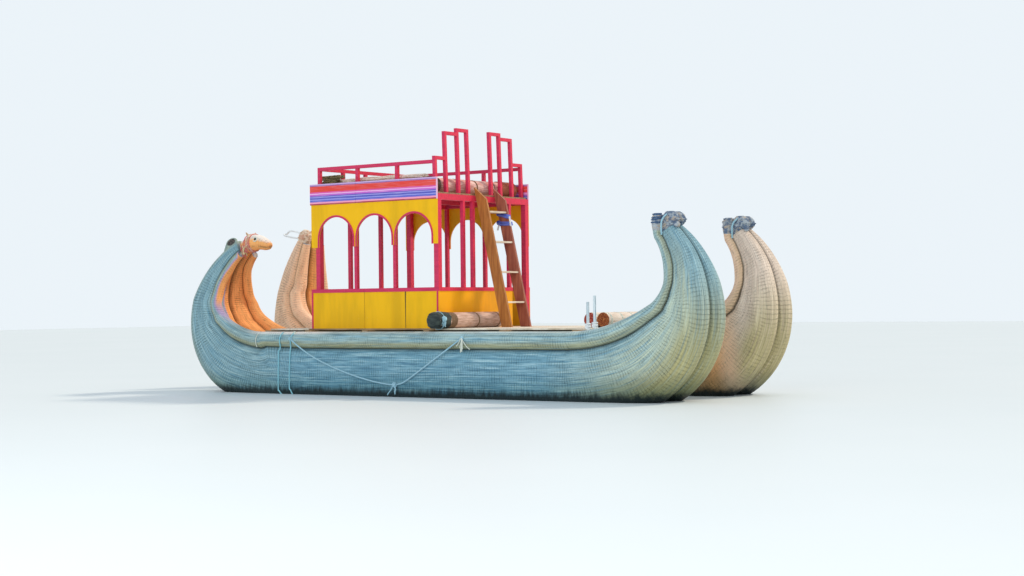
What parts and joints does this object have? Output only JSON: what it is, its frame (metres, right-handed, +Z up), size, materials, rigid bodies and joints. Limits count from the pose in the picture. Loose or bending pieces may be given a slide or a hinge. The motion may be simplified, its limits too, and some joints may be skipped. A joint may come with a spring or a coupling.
{
  "type": "reed boat",
  "caption": "Twin-hulled reed boat with swept-up ends, an open painted cabin with arched windows, a railed upper deck and a ladder.",
  "frame": {"origin": "middle of the boat's footprint, at the bottom of its keels", "axes": "+X towards the bow, +Y to port, +Z up"},
  "size_m": [10.2399, 3.3878, 4.61],
  "materials": {
    "reed_weathered": "weathered reed, matt, wet and dark at the waterline",
    "reed_straw": "dry straw-coloured reed, matt",
    "reed_seat": "dry reed bound with cord, matt",
    "deck_mat": "flattened dry reed, matt",
    "timber_plain": "unpainted timber, matt",
    "paint_red": "pink-red painted timber, satin",
    "paint_purple": "purple-red painted timber, satin",
    "paint_yellow": "yellow painted plywood, satin",
    "paint_stripes": "board painted with red, magenta, violet and blue stripes, satin",
    "ladder_timber": "varnished timber, satin",
    "tread_timber": "pale timber, matt",
    "eye_dark": "dark painted eye, satin",
    "rope": "light blue synthetic rope, matt"
  },
  "bodies": {
    "root": {"aft_deck_mat": "deck_mat", "aft_top_rail": "paint_red", "arch_trims": "paint_red", "bow_seat_rolls": "reed_seat", "cabin_floor": "timber_plain", "corner_posts": "paint_red", "cross_beams": "timber_plain", "fore_deck_mat": "deck_mat", "fore_deck_seat_roll": "reed_seat", "frame_bars": "paint_red", "frame_posts": "paint_red", "front_low_panel": "paint_yellow", "front_low_rail": "paint_red", "head_eyes": "eye_dark", "ladder_planks": "ladder_timber", "ladder_treads": "tread_timber", "port_bow_knobs": "reed_straw", "port_fascia": "paint_stripes", "port_inner_bundle": "reed_straw", "port_inner_roll_aft": "reed_straw", "port_inner_roll_fore": "reed_straw", "port_inner_roll_middle": "reed_straw", "port_low_panels": "paint_yellow", "port_low_rail": "paint_red", "port_outer_bundle": "reed_straw", "port_outer_roll": "reed_straw", "port_stern_knobs": "reed_straw", "port_top_rail": "paint_red", "port_valance": "paint_yellow", "railing_posts": "paint_red", "rear_fascia": "paint_stripes", "rear_low_panel": "paint_yellow", "rear_low_rail": "paint_red", "rope_ties": "rope", "side_rope": "rope", "side_rope_knot": "rope", "starboard_bow_knobs": "reed_straw", "starboard_fascia": "paint_stripes", "starboard_inner_bundle": "reed_straw", "starboard_inner_roll_aft": "reed_straw", "starboard_inner_roll_fore": "reed_straw", "starboard_inner_roll_middle": "reed_straw", "starboard_low_panels": "paint_yellow", "starboard_low_rail": "paint_red", "starboard_outer_bundle": "reed_weathered", "starboard_outer_roll": "reed_weathered", "starboard_stern_head": "reed_straw", "starboard_top_rail": "paint_red", "starboard_valance": "paint_yellow", "thole_pins": "timber_plain", "upper_aft_seat_roll": "reed_seat", "upper_deck_beams": "paint_red", "upper_deck_boards": "timber_plain", "upper_front_seat_roll": "reed_seat", "upper_side_seat_rolls": "reed_seat", "wall_battens": "paint_red", "wall_plates": "paint_red", "wall_studs": "paint_red"}
  },
  "joints": []
}
